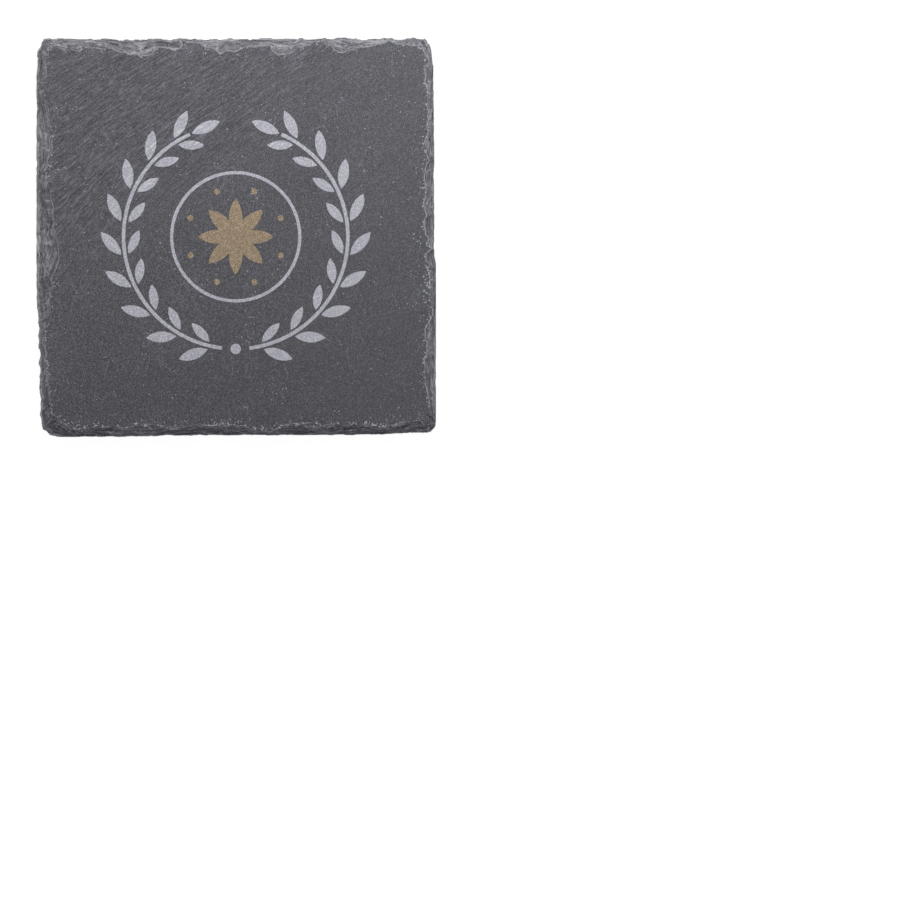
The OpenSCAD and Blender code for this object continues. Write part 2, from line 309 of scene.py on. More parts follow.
# The slate has parted between its layers, so the slope steps down in ledges, and fine layers
# show on the whole break. Their levels drift and wander, and every ledge crumbles.
LEDGES, RISER, DRIFT = 4, 0.2, 0.42     # ledges down the slope; the others in shares of a ledge
LEDGE = (SLAB_TOP - BROW) / LEDGES
torn_x, torn_y, torn_z = np.moveaxis(skin, 2, 0)
turns = 2 * np.pi * np.stack([2.1 * torn_x + 0.7 * torn_y, 3.4 * torn_x - 2.3 * torn_y]) / SLAB_HALF
drift = np.sin(turns[0] + np.radians(40)) + np.sin(turns[1] + np.radians(160))
wander = DRIFT * LEDGE * drift / 2 + 0.8 * ripples(torn_x, torn_y, 31, 4, 14)
wander = wander + 0.12 * ripples(torn_x, torn_y, 34, 0.9, 3)
layered = 0.25 + 0.6 * eased(0.5 + 1.3 * ripples(torn_x, torn_y, 36, 6, 20))
layered = layered * (1 - 0.4 * at_left + 0.2 * at_rear)
level = SLAB_TOP - torn_z - wander - LEDGE / 2
crumble = ripples(torn_x + torn_z, torn_y - torn_z, 32, 0.8, 2.6, count=60)
rough = 0.2 + 0.8 * eased(0.5 + 1.2 * ripples(torn_x, torn_y, 33, 5, 18))
skin = skin - outward(skin) * (broken * rough * (0.02 + 0.03 * crumble))[..., None]
skin[..., 2] -= broken * layered * (stepped(level, LEDGE, RISER) - level)

# On one side of its riser a ledge has an arris, which gets rubbed, and on the other a nook, where
# painted shade darkens the stone, up to twice as much at the front.
past = level / LEDGE % 1 - 0.5
arris = layered * np.exp(-((past + RISER / 2) / 0.08) ** 2)
nook = layered * (1 + at_front) * np.exp(-((past - RISER / 2) / 0.09) ** 2)

# Nothing stands out of the block that the slab was split from.
BLOCK_SPARE = 0.01
skin[..., :2] = np.clip(skin[..., :2], BLOCK_SPARE - SLAB_HALF, SLAB_HALF - BLOCK_SPARE)
skin[..., 2] = np.minimum(skin[..., 2], face_height(skin[..., 0], skin[..., 1]))
skin[:base_ring + 1, :, 2] = np.maximum(skin[:base_ring + 1, :, 2], SLAB_BOTTOM)
skin[base_ring, :, 2] = underside_height(skin[base_ring, :, 0], skin[base_ring, :, 1])

# Ridges: where the break stands proud of the points around, where two scars meet, on arrises
# and along the brow. Along the brow, and at the left over the slope above it too, this pale
# band is painted light that lifts the shade of the steep brow.
neighbours = (np.roll(skin, 1, 1) + np.roll(skin, -1, 1)) / 2
neighbours[1:-1] += (skin[2:] + skin[:-2]) / 2
neighbours[1:-1] /= 2
proud = ((skin - neighbours) * outward(skin)).sum(2)
meeting = eased(1 - (scars - second_scars) / 0.07) * (second_scars > 0.04)
ridge = np.maximum(np.clip(proud / 0.06 - 0.2, 0, 1), 0.8 * meeting)
ridge = broken * np.maximum(ridge, 0.6 * arris)
painted_brow, painted_above_brow = slice(brow_ring - 1, brow_ring + 2), slice(brow_ring - 5, brow_ring + 1)
ridge[painted_brow] = np.maximum(ridge[painted_brow], 0.4 + 0.4 * at_left)
ridge[painted_above_brow] = np.maximum(ridge[painted_above_brow], 0.9 * at_left)
nook = nook * broken
nook[:edge_ring + 1] = 0
# A place on the break in mm: round the slab, drawn as a circle of that length, and up from the
# brow, both bent so that the layers thin out and end askew. The pale mark is painted light and
# shade: how much paler than the split face the break is drawn, fully at the rear towards the
# lamp, least at the front, a little less at the right, less over the face's margin at the left,
# and at least 0.8 on the wall and below.
lap_turn = 2 * np.pi * np.arange(ROUND) / ROUND
lap_circle = 8 * SLAB_HALF / (2 * np.pi) * np.stack([np.cos(lap_turn), np.sin(lap_turn)])
climb = up + (0.5 + 0.7 * at_left * eased(up / 2.5)) * ripples(x, y, 35, 3, 12)
askew = 0.9 * up + 0.8 * ripples(x + z, y - z, 37, 1.5, 5)
course = np.stack([lap_circle[0] + askew, lap_circle[1] - askew, climb], 2)
pale = np.ones(ridge.shape) * (1 - 0.85 * at_front - 0.15 * at_right * (1 - at_front))
pale[:edge_ring + 1] -= 0.6 * at_left * (1 - at_front)
pale[brow_ring + 1:] = np.maximum(pale[brow_ring + 1:], 0.8)
bruised = np.zeros(ridge.shape)
bruised[:edge_ring + 1] = margin_t ** 3 * (1 + np.maximum(0.6 * at_right, 0.75 * at_front))
bruised[edge_ring + 1:base_ring + 1] = 0.3


def grid_rim(values):
    """The values on the rim of a square grid, anticlockwise from its front left corner."""
    return np.concatenate([values[0, :-1], values[:-1, -1], values[-1, :0:-1], values[:0:-1, 0]])


def wrapped(top, rings, bottom):
    """A closed skin round a flat body: a grid of points on top, rings that run round its rim
    one after the other, and a grid below. A ring has as many points as the rim before it, or
    twice or half as many. Gives the points and their faces, which look outwards."""
    size = top.shape[0] * top.shape[1]
    grid = np.arange(size).reshape(top.shape[:2])
    below = grid + size + sum(len(ring) for ring in rings)

    def squares(a, b, c, d):
        """One face for each place in four grids that hold its corners in turn."""
        return np.stack([a, b, c, d], -1).reshape(-1, 4)

    faces = [squares(grid[:-1, :-1], grid[:-1, 1:], grid[1:, 1:], grid[1:, :-1]),
             squares(below[:-1, :-1], below[1:, :-1], below[1:, 1:], below[:-1, 1:])]
    last, start = grid_rim(grid), size
    loops = []
    for ring in rings:
        loops.append(np.arange(start, start + len(ring)))
        start += len(ring)
    for loop in loops + [grid_rim(below)]:
        a, b = np.roll(last, -1), np.roll(loop, -1)
        if len(loop) == len(last):
            faces.append(np.stack([last, loop, b, a], 1))
        else:
            finer = max(loop, last, key=len)
            near, middle, far = finer[::2], finer[1::2], np.roll(finer[::2], -1)
            if finer is loop:
                thirds = (last, near, middle), (last, middle, a), (a, middle, far)
            else:
                thirds = (near, loop, middle), (loop, b, middle), (middle, b, far)
            faces += [np.stack(third, 1) for third in thirds]
        last = loop
    points = np.vstack([top.reshape(-1, 3), *rings, bottom.reshape(-1, 3)])
    return points, faces


def placed(name, data):
    """An object made of the data, in the scene."""
    made = bpy.data.objects.new(name, data)
    bpy.context.scene.collection.objects.link(made)
    return made


def piece(name, skins, material, crisp=50, **marks):
    """One mesh from closed skins in mm, made metres, with its material. Edges sharper than
    `crisp` degrees stay crisp, and each mark is kept as a number or vector on every point."""
    points, faces, start = [], [], 0
    for skin_points, skin_faces in skins:
        points.append(skin_points)
        for group in skin_faces:
            faces += (group + start).tolist()
        start += len(skin_points)
    mesh = bpy.data.meshes.new(name)
    mesh.from_pydata((np.vstack(points) * MM).tolist(), [], faces, shade_flat=False)
    mesh.set_sharp_from_angle(angle=np.radians(crisp))
    for mark, values in marks.items():
        kind, field = ("FLOAT_VECTOR", "vector") if values.ndim > 1 else ("FLOAT", "value")
        kept = mesh.attributes.new(mark, kind, "POINT")
        kept.data.foreach_set(field, values.astype(np.float32).ravel())
    mesh.materials.append(material)
    return placed(name, mesh)


def linear(code):
    """An sRGB hex colour made linear: c / 12.92 up to 0.04045, else ((c + 0.055) / 1.055)^2.4."""
    srgb = np.array([int(code[i:i + 2], 16) for i in (1, 3, 5)]) / 255
    curve = ((srgb + 0.055) / 1.055) ** 2.4
    return (*np.where(srgb <= 0.04045, srgb / 12.92, curve).tolist(), 1.0)


def new_material(name):
    """An empty material, and the function that adds nodes to it."""
    material = bpy.data.materials.new(name)
    material.use_nodes = True
    material.node_tree.nodes.clear()
    return material, partial(add_node, material.node_tree)


MODES = {"Math": "operation", "VectorMath": "operation", "Mix": "data_type",
         "Mapping": "vector_type"}


def add_node(tree, kind, *fed, **settings):
    """Adds a node, set to the mode that its kind's second word names, and with other settings.
    What it is fed goes to the sockets in use in their order, or comes in a dict by socket: a
    value, an output, or a node, whose first output in use is linked."""
    kind, *mode = kind.split()
    made = tree.nodes.new("ShaderNode" + kind)
    for name, value in [*settings.items(), *[(MODES[kind], word) for word in mode]]:
        setattr(made, name, value)
    sockets = zip([socket for socket in made.inputs if socket.enabled], fed)
    if fed and isinstance(fed[-1], dict):
        sockets = [(made.inputs[name], value) for name, value in fed[-1].items()]
    for socket, value in sockets:
        if isinstance(value, bpy.types.Node):
            value = next(output for output in value.outputs if output.enabled)
        if isinstance(value, bpy.types.NodeSocket):
            tree.links.new(value, socket)
        else:
            socket.default_value = value
    return made


def surfaced(material, add, colour, roughness, ior, bump, **more):
    """The material, with a skin that has its colour and gloss and that a bump shapes."""
    add("OutputMaterial", add("BsdfPrincipled", {
        "Base Color": colour, "Roughness": roughness, "IOR": ior, "Normal": bump, **more}))
    return material


def mottle(add, where, size, detail, turn=0.0, roughness=0.55, bent=0.0):
    """A soft mottle with values about a half: noise whose patches measure `size` mm along x, y
    and z, turned by `turn` degrees."""
    laid = add("Mapping TEXTURE", {
        "Vector": where, "Rotation": (0, 0, float(np.radians(turn))),
        "Scale": [side * MM for side in size]})
    return add("TexNoise", {"Vector": laid, "Scale": 1, "Detail": detail, "Roughness": roughness,
                            "Distortion": bent})


def veins(add, where, size, level, width, strength=1.0, core=0.0, **laid):
    """Winding lines where a mottle passes a level: `strength` as long as |mottle - level| is
    under `core`, and less and less from there, to nought at `width`."""
    away = add("Math SUBTRACT", mottle(add, where, size, 1, **laid), level)
    return add("MapRange", add("Math ABSOLUTE", away), core, width, strength, 0.0)


# Sizes of the grain in mm. Real mica flecks are mostly under a tenth of a millimetre wide, too
# fine to show at 4 pixels to the millimetre, so the grain is drawn two to four times as coarse.
GRAIN = 0.16, 0.16, 0.16
LONG_STRAND, SHORT_STRAND, LOOSE_STRAND = (5, 0.3, 0.3), (2, 0.2, 0.2), (0.62, 0.42, 0.42)
LAYER_EDGE, CLOUD, STRETCH = (10, 1.0, 1.0), (20, 9, 9), (20, 20, 20)
LOOSE_TURN, CLOUD_TURN = 56, 31     # degrees


def slate_pattern(add):
    """The pattern of a split slate face, in Object coordinates, which it gives first: the shade
    of its mica strands (0 dark to 1 light), their height, and the long edges of thin layers. A
    strand runs wherever a mottle passes its middle value, so that it winds like the grain does.
    It follows the cleavage at the upper left and loses its direction towards the lower right."""
    where = add("TexCoord").outputs["Object"]
    x, y, z = add("SeparateXYZ", where).outputs
    # Strands lie along the curves x - 0.9 y - y^2 / 109 mm = constant, which turn from 33 degrees
    # at the rear to 48 at the middle.
    bend = add("Math MULTIPLY", y, add("Math MULTIPLY_ADD", y, 1 / (109 * MM), 0.9))
    across = add("Math MULTIPLY", add("Math SUBTRACT", x, bend), 0.62)
    along = add("Math MULTIPLY_ADD", y, 0.62, add("Math MULTIPLY", x, 0.79))
    combing = add("CombineXYZ", along, across, z)
    # How far the strands are lined up: from 1 at the upper left to 0, with a soft uneven border.
    lined = add("Math MULTIPLY_ADD", x, -0.73, y)
    lined = add("Math MULTIPLY_ADD", lined, 1 / (26 * MM), -0.42)
    uneven = add("Math MULTIPLY_ADD", mottle(add, where, STRETCH, 1, roughness=0.5), 1.2, -0.6)
    lined = add("Clamp", add("Math ADD", lined, uneven))

    long = veins(add, combing, LONG_STRAND, 0.5, 0.08, roughness=0.5)
    short = veins(add, combing, SHORT_STRAND, 0.5, 0.1, roughness=0.5)
    loose = veins(add, where, LOOSE_STRAND, 0.5, 0.09, turn=LOOSE_TURN, roughness=0.5)
    combed = add("Math MULTIPLY_ADD", long, 1.0, -0.54)
    combed = add("Math MULTIPLY_ADD", short, 0.6, combed)
    loose = add("Math MULTIPLY", loose, add("Math MULTIPLY_ADD", lined, -0.3, 1.0))
    strand = add("Math MULTIPLY_ADD", combed, add("Math MULTIPLY", lined, 0.6), loose)
    speckle = mottle(add, where, GRAIN, 1, roughness=0.5)
    height = add("Math MULTIPLY_ADD", speckle, 0.8, strand)
    lines = veins(add, combing, LAYER_EDGE, 0.5, 0.04, roughness=0.5)
    lines = add("Math MULTIPLY", lines, lined)

    # The grain has less contrast to the right and the front.
    contrast = add("Math MULTIPLY_ADD", x, -0.2 / (SLAB_HALF * MM), 0.98)
    contrast = add("Math MULTIPLY_ADD", y, 0.12 / (SLAB_HALF * MM), contrast)
    grain = add("Math MULTIPLY_ADD", strand, 0.5, -0.565)
    grain = add("Math MULTIPLY_ADD", speckle, 0.85, grain)
    shade = add("Math MULTIPLY_ADD", grain, contrast, 0.14)
    clouds = mottle(add, where, CLOUD, 2, turn=CLOUD_TURN, roughness=0.5)
    clouds = add("Math SUBTRACT", clouds, 0.5)
    sides = add("Math MULTIPLY", x, x)
    for light, amount in ((lined, 0.02), (lines, 0.3), (clouds, 0.1),
                          (sides, 0.04 / (SLAB_HALF * MM) ** 2)):
        shade = add("Math MULTIPLY_ADD", light, amount, shade)
    return where, shade, height, lines


# More sizes in mm: bruises and scuffs on the faces, then torn layers on the break, which are
# long round the slab and thin up it.
BRUISE, FLOCK = (0.46, 0.46, 0.46), (7, 7, 7)
SCUFF, SCUFF_FLECK, SCUFFED = (5, 12, 5), (0.4, 0.6, 0.4), (9, 9, 9)
TORN, LAYER_END, GAP, SEAM = (6.5, 6.5, 0.6), (5, 5, 0.5), (8, 8, 0.9), (9, 9, 1.4)
PATCH, RUB, WOBBLE = (4, 4, 4), (1.2, 1.2, 1.2), (2.5, 2.5, 2.5)
LIFTED_FLAKES = (-8, 8, 3.6), (12.7, 5.5, 3.2)     # middle, half width and half depth
FRONT_LIP = -49.4
GRAIN_BUMP, LINE_BUMP, TORN_BUMP = 0.025, 0.02, 0.14


def split_slate():
    """Slate, split along its cleavage and left as it splits. That gives a dull bluish grey
    with a fine grain of paler mica strands, and paler stone wherever it is freshly broken or
    rubbed: on the scars, in bruises beside them, and most of all on the ridges. Light and shade
    are painted in too: faces and break paler towards the rear, painted shade in the gaps and
    nooks of the break, and painted light along its brow."""
    material, add = new_material("split slate")
    where, shade, height, lines = slate_pattern(add)
    y = add("SeparateXYZ", where).outputs["Y"]
    fresh, rubbed_and_lit, bruised, below, painted_nook_shade, pale = [
        add("Attribute", attribute_name=mark).outputs["Fac"]
        for mark in ("fresh", "ridge", "bruised", "below", "nook", "pale")]
    course = add("Attribute", attribute_name="course").outputs["Vector"]
    broken = add("MapRange", fresh, -0.04, 0.04)

    # Painted light: both faces are drawn paler towards the rear, the underside more so.
    faces = []
    for paler, dark, light in ((0.05, "#48484c", "#93949c"), (0.13, "#5c5c63", "#9a9ca8")):
        tone = add("Math MULTIPLY_ADD", y, paler / (SLAB_HALF * MM), shade)
        tone = add("MapRange", tone, -0.1, 0.9)
        faces.append(add("Mix RGBA", tone, linear(dark), linear(light)))
    face, back = faces
    # Hairlines under the front edge, where two flakes have begun to lift: part of an ellipse each.
    wobble = add("Math MULTIPLY_ADD", mottle(add, where, WOBBLE, 2), 0.3, 0.85)
    hairlines = []
    for flake_x, half_x, half_y in LIFTED_FLAKES:
        laid = add("Mapping TEXTURE", {
            "Vector": where, "Location": (flake_x * MM, FRONT_LIP * MM, 0),
            "Scale": (half_x * MM, half_y * MM, 1)})
        away = add("Math SUBTRACT", add("VectorMath LENGTH", laid), wobble)
        hairlines.append(add("Math ABSOLUTE", away))
    hairline = add("MapRange", add("Math MINIMUM", *hairlines), 0.0, 0.035, 0.75, 0)
    back = add("Mix RGBA", hairline, back, linear("#2c2c31"))
    colour = add("Mix RGBA", below, face, back)

    # Scuffs are broken pale hairs in a few places. Bruises are pale dots in loose flocks, more
    # of them beside the break.
    scuff = veins(add, where, SCUFF, 0.5, 0.02, 0.4)
    for size, low, high in ((SCUFFED, 0.56, 0.64), (SCUFF_FLECK, 0.42, 0.62)):
        kept = add("MapRange", mottle(add, where, size, 1), low, high)
        scuff = add("Math MULTIPLY", scuff, kept)
    colour = add("Mix RGBA", scuff, colour, linear("#a3a9b6"))
    flock = add("Math MULTIPLY_ADD", mottle(add, where, FLOCK, 1), 0.22, -0.11)
    beside = add("MapRange", fresh, -1.1, 0.0, 0, 0.06)
    beside = add("Math MULTIPLY", beside, add("MapRange", broken, 0, 1, 1, 0))
    bruises = add("Math MULTIPLY_ADD", bruised, 0.068, mottle(add, where, BRUISE, 1))
    for more in (flock, beside):
        bruises = add("Math ADD", bruises, more)
    bruises = add("MapRange", bruises, 0.73, 0.78, 0, 0.95)

    # The break: torn layers and the ends of single ones, in fresh stone. The ends are drawn at a
    # level away from the mottle's middle, which is met on its whole lattice and shows as bricks.
    crumbs = mottle(add, course, TORN, 2, bent=0.5)
    layer_ends = veins(add, course, LAYER_END, 0.41, 0.08, 0.22, bent=0.6)
    crumbs = add("Math ADD", crumbs, layer_ends)
    torn = add("Math ADD", add("Math MULTIPLY", crumbs, 0.68), add("Math MULTIPLY", shade, 0.6))
    torn = add("MapRange", torn, 0.18, 0.85)
    # Painted light and shade: a darker and a paler copy of the torn stone, mixed by the pale mark.
    stones = [add("Mix RGBA", torn, linear(dark), linear(light))
              for dark, light in (("#3f3f45", "#7b7b83"), ("#55555b", "#a1a1a8"))]
    colour = add("Mix RGBA", broken, colour, add("Mix RGBA", pale, *stones))
    # Painted shade: the gaps between torn layers, and the nooks, are drawn dark.
    gaps = veins(add, course, GAP, 0.4, 0.1, 0.42, core=0.02, bent=0.6)
    dark = add("Math MAXIMUM", add("Math MULTIPLY", gaps, broken), add("Math MULTIPLY", painted_nook_shade, 0.35))

    # Rubbed to white: ridges, seams between layers, and the brim all round the break. The ridges
    # hold painted light along the brow, and seams and brim are drawn brighter where the pale mark
    # is high, towards the rear: painted light as well.
    patches = add("MapRange", mottle(add, where, PATCH, 2), 0.34, 0.56, 0.1, 0.95)
    seams = veins(add, course, SEAM, 0.59, 0.07, 0.8, bent=0.7)
    seams = add("Math MULTIPLY", seams, add("Math MULTIPLY", broken, patches))
    worn_and_lit = rubbed_and_lit
    for kept in ((mottle(add, where, RUB, 2), 0.36, 0.56, 0.1, 1), (crumbs, 0.35, 0.65, 0.55, 1)):
        worn_and_lit = add("Math MULTIPLY", worn_and_lit, add("MapRange", *kept))
    whole = add("Math MAXIMUM", patches, add("MapRange", pale, 0.45, 0.9, 0.15, 0.55))
    brim = add("MapRange", add("Math ABSOLUTE", fresh), 0.0, 0.17, 1, 0)
    brim = add("Math MULTIPLY", brim, whole)
    painted_light_showing = add("MapRange", pale, 0.1, 0.9, 0.45, 1)
    rubbing = add("Math MULTIPLY", add("Math MAXIMUM", brim, seams), painted_light_showing)
    white = add("Math MAXIMUM", worn_and_lit, rubbing)
    # Laid on in turn: the painted shade of gaps and nooks, the bruises, and the rubbed white.
    for cover, paint in ((dark, "#38383c"), (bruises, "#c4cad4"), (white, "#d3d4da")):
        colour = add("Mix RGBA", cover, colour, linear(paint))

    torn_height = add("Math MULTIPLY", crumbs, broken)
    lower = {}
    for cut, relief in ((GRAIN_BUMP, height), (LINE_BUMP, lines), (TORN_BUMP, torn_height)):
        bump = add("Bump", {"Strength": 1, "Distance": cut * MM, "Height": relief, **lower})
        lower = {"Normal": bump}
    dull = add("MapRange", shade, 0.0, 0.9, 0.8, 0.65)
    return surfaced(material, add, colour, dull, 1.5, bump, **{"Specular IOR Level": 0.3})


# The first ring is thinned to meet the grid's rim, and so is the last but one. The very last
# would lie on the grid below, and is left out.
grid_x, grid_y = np.meshgrid(*[np.linspace(-GRID_HALF, GRID_HALF, GRID + 1)] * 2)
top = np.stack([grid_x, grid_y, face_height(grid_x, grid_y)], 2)
bottom = np.stack([grid_x, grid_y, underside_height(grid_x, grid_y)], 2)
thinned = [skin[0, ::2], *skin[1:-2], skin[-2, ::2]]


def marks_for(on_top, values, on_bottom):
    """A number or vector for each point of the slab's skin, in the skin's order."""
    flat = np.ones(((GRID + 1) ** 2, *values.shape[2:]))
    return np.concatenate([flat * on_top, values[0, ::2], *values[1:-2], values[-2, ::2],
                           flat * on_bottom])


is_below = np.zeros(broken.shape)
is_below[base_ring:] = 1
slab = piece("slate_slab_split", [wrapped(top, thinned, bottom)], split_slate(), crisp=60,
             fresh=marks_for(FAR_OUT, fresh, FAR_OUT), ridge=marks_for(0, ridge, 0),
             nook=marks_for(0, nook, 0), bruised=marks_for(0, bruised, 0),
             below=marks_for(0, is_below, 1), pale=marks_for(1, pale, 1),
             course=marks_for(0, course * MM, 0))
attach(slab, "root")
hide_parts("slate_slab")

# ---- Adhesive films --------------------------
# Four discs of clear acrylic adhesive that come on the back of the foam and hold each foot
# to the slate. Only their thin rim shows, a tenth of a millimetre inside the foam's edge.
FOOT_NAMES = ("front_left", "front_right", "rear_left", "rear_right")
FOOT_RADIUS = 7.75
FOAM_TOP = 2.0
FILM_MARGIN = 0.1
FILM_SQUARES = 28
FILM_WOBBLE = 0.006     # of its radius
STREAK = 0.8, 0.8, 0.05


def disc_grid(cells):
    """A square grid drawn round into a unit disc: a point (u, v) of the square goes to the
    radius max(|u|, |v|), at a quarter turn times the smaller over the larger."""
    u, v = np.meshgrid(*[np.linspace(-1, 1, cells + 1)] * 2)
    wide = np.abs(u) >= np.abs(v)
    radius = np.where(wide, u, v)
    quarter = np.pi / 4 * np.where(wide, v, u) / np.where(radius == 0, 1, radius)
    turn = np.where(wide, quarter, np.pi / 2 - quarter)
    return radius * np.cos(turn), radius * np.sin(turn)


def acrylic_film():
    """Acrylic pressure-sensitive adhesive, cast and dried on a liner. It is clear to milky and
    glossy where it was cut, with fine streaks from the casting."""
    material, add = new_material("acrylic adhesive")
    where = add("TexCoord").outputs["Object"]
    streaks = mottle(add, where, STREAK, 3, roughness=0.5)
    colour = add("Mix RGBA", streaks, linear("#a9a69b"), linear("#dedbd0"))
    bump = add("Bump", {"Distance": 0.02 * MM, "Height": streaks})
    return surfaced(material, add, colour, 0.32, 1.47, bump)


adhesive = acrylic_film()
for number, (name, (foot_x, foot_y)) in enumerate(zip(FOOT_NAMES, FOOT_PLACES)):
    disc_x, disc_y = disc_grid(FILM_SQUARES)
    turn = np.arctan2(disc_y, disc_x)
    waves = np.cos(5 * turn + number) * np.cos(2 * turn + 2 * number)
    rim_wobble = 1 - FILM_WOBBLE * (1 + waves) / 2
    flat_x = foot_x + disc_x * rim_wobble * (FOOT_RADIUS - FILM_MARGIN)
    flat_y = foot_y + disc_y * rim_wobble * (FOOT_RADIUS - FILM_MARGIN)
    top = np.stack([flat_x, flat_y, np.full(flat_x.shape, SLAB_BOTTOM)], 2)
    bottom = np.stack([flat_x, flat_y, np.full(flat_x.shape, FOAM_TOP)], 2)
    film = piece("adhesive_film_" + name, [wrapped(top, [], bottom)], adhesive)
    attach(film, "root")
    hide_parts("adhesive_" + name)

# ---- Foam feet -------------------------------
# Four stick-on pads of black closed-cell EVA foam, sliced from a block and die-cut. The slice
# opens cells a quarter of a millimetre wide, and the die rolls the edge over a little.
FOAM_SQUARES = 64
CELL_SPACING, GRIT = 0.32, 0.5
PITS, PIT_RADIUS, PIT_DEPTH = 900, (0.18, 0.42), 0.25     # the depth is a share of the radius
LIP, TOP_LIP, SAG = 0.22, 0.1, 0.05
CUT_WAVE, CUT_SPARE = 0.03, 0.02


def eva_foam():
    """EVA foam, sliced and die-cut. A soft near-black with no gloss, peppered with open cells,
    whose insides are drawn darker as painted shade and whose rims are drawn paler."""
    material, add = new_material("EVA foam")
    where = add("TexCoord").outputs["Object"]
    cells = add("TexVoronoi", {"Vector": where, "Scale": 1 / (CELL_SPACING * MM), "Randomness": 1})
    grit = add("TexNoise", {"Vector": where, "Scale": 1 / (GRIT * MM), "Detail": 3})
    # Painted shade: each cell is darker towards its middle and paler at its rim.
    cell_shade_and_rims = add("MapRange", cells, 0.15, 0.75)
    shade = add("Math MULTIPLY", cell_shade_and_rims, grit)
    colour = add("Mix RGBA", shade, linear("#3f3d43"), linear("#848189"))
    bump = add("Bump", {"Distance": 0.12 * MM, "Height": cell_shade_and_rims})
    return surfaced(material, add, colour, 0.92, 1.45, bump)


def foam_disc(cx, cy, radius, low, high, seed):
    """A die-cut disc: the concentric grid on both faces, pitted by the deepest of many seeded
    round dips, and rings between them on a quarter-round lip and a barely hollow cut side."""
    rng = np.random.default_rng(seed)
    disc_x, disc_y = disc_grid(FOAM_SQUARES)
    flat_x, flat_y = cx + disc_x * (radius - LIP), cy + disc_y * (radius - LIP)
    pits = np.zeros(flat_x.shape)
    pit_places = rng.uniform(-radius, radius, (2, PITS))
    for px, py, size in zip(*pit_places, rng.uniform(*PIT_RADIUS, PITS)):
        away = ((flat_x - cx - px) ** 2 + (flat_y - cy - py) ** 2) / size ** 2
        pits = np.maximum(pits, PIT_DEPTH * size * (1 - away))
    round_points = 4 * FOAM_SQUARES
    edge_turn = np.arctan2(*square_walk(round_points).T[::-1])
    rim_x, rim_y = grid_rim(disc_x), grid_rim(disc_y)
    bend = np.radians([18, 36, 54, 72, 90])
    share = np.array([0.25, 0.5, 0.75])
    ring_reach = np.concatenate([
        radius - TOP_LIP * (1 - np.sin(bend)), radius - SAG * np.sin(np.pi * share),
        radius - LIP * (1 - np.sin(bend[::-1]))])
    ring_height = np.concatenate([
        high - TOP_LIP * (1 - np.cos(bend)),
        (high - TOP_LIP) * (1 - share) + (low + SAG + LIP) * share,
        low + SAG + LIP * (1 - np.cos(bend[::-1]))])
    rings = []
    for out, height in zip(ring_reach, ring_height):
        up_the_cut = np.full(round_points, height * 2)
        rough = CUT_WAVE * ripples(edge_turn * radius, up_the_cut, seed + 5, 0.5, 3)
        out = out - CUT_SPARE + np.minimum(rough, CUT_SPARE)
        rings.append(np.stack([cx + rim_x * out, cy + rim_y * out,
                               np.full(round_points, height)], 1))
    top = np.stack([cx + disc_x * (radius - TOP_LIP), cy + disc_y * (radius - TOP_LIP),
                    np.full(disc_x.shape, high)], 2)
    bottom = np.stack([flat_x, flat_y, low + SAG * (disc_x ** 2 + disc_y ** 2) + pits], 2)
    return wrapped(top, rings, bottom)


foam = eva_foam()
for number, (name, (foot_x, foot_y)) in enumerate(zip(FOOT_NAMES, FOOT_PLACES)):
    disc = foam_disc(foot_x, foot_y, FOOT_RADIUS, 0.0, FOAM_TOP, 40 + number)
    foot = piece("foam_foot_" + name, [disc], foam)
    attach(foot, "root")
    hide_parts("foot_" + name)

# ---- White print -----------------------------
# A wreath of two leafy branches that meet in a knot, and a thin ring inside it, in white
# ink that a flat-bed printer lays on the slate and cures. The film is so thin that it takes
# the slate's relief, and its edges are as rough as the grain.
INK_LOW, INK_HIGH = -0.02, 0.045    # mm, from the slate's face
WREATH_RADIUS, STEM_WIDTH = 28.0, 0.9
LEAF_LENGTH, LEAF_WIDTH, LEAF_GAP, LEAF_LEAN = 7.6, 2.7, 0.5, 33
INNER_LEAF = 0.85
PAIR_ANGLES = np.linspace(-76, 58, 9)
BRANCH_START, BRANCH_END = -83, 66
KNOT_RADIUS = 1.3
RING_RADIUS, RING_WIDTH = 16.0, 0.8
SPOT = 0.3     # mm, specks where the ink has missed the slate


def inked(flat_x, flat_y):
    """A film of ink over a grid of places: its upper and lower side follow the slate's face."""
    ground = face_height(flat_x, flat_y)
    top = np.stack([flat_x, flat_y, ground + INK_HIGH], 2)
    bottom = np.stack([flat_x, flat_y, ground + INK_LOW], 2)
    return wrapped(top, [], bottom)


def rough_edge(flat_x, flat_y, amount=0.05):
    """The places nudged by up to `amount` mm, in waves as short as the slate's grain."""
    return (flat_x + amount * ripples(flat_x, flat_y, 51, 0.5, 1.6),
            flat_y + amount * ripples(flat_x, flat_y, 52, 0.5, 1.6))


def leaf_film(x0, y0, heading, length, width):
    """A pointed leaf from (x0, y0) along its heading in degrees, where two circles of radius
    (length^2 + width^2) / (4 width) cross: the disc grid is drawn out to half the length, and
    each place across it scaled to the circles' distance there."""
    disc_x, disc_y = disc_grid(14)
    bow = (length ** 2 + width ** 2) / (4 * width)
    along = disc_x * length / 2
    half = np.sqrt(bow ** 2 - along ** 2) - (bow - width / 2)
    across = half * disc_y / np.sqrt(np.maximum(1 - disc_x ** 2, 1e-6))
    c, s = np.cos(np.radians(heading)), np.sin(np.radians(heading))
    along = along + length / 2
    return inked(*rough_edge(x0 + c * along - s * across, y0 + s * along + c * across))


def arc_film(radius, width, start, end):
    """A band of a width along an arc between two angles in degrees: the angle in one direction
    of the grid, and the radius less the place across the band in the other."""
    angle, across = np.meshgrid(np.radians(np.linspace(start, end, 240)), np.linspace(-0.5, 0.5, 5))
    reach = radius - across * width
    return inked(*rough_edge(reach * np.cos(angle), reach * np.sin(angle)))


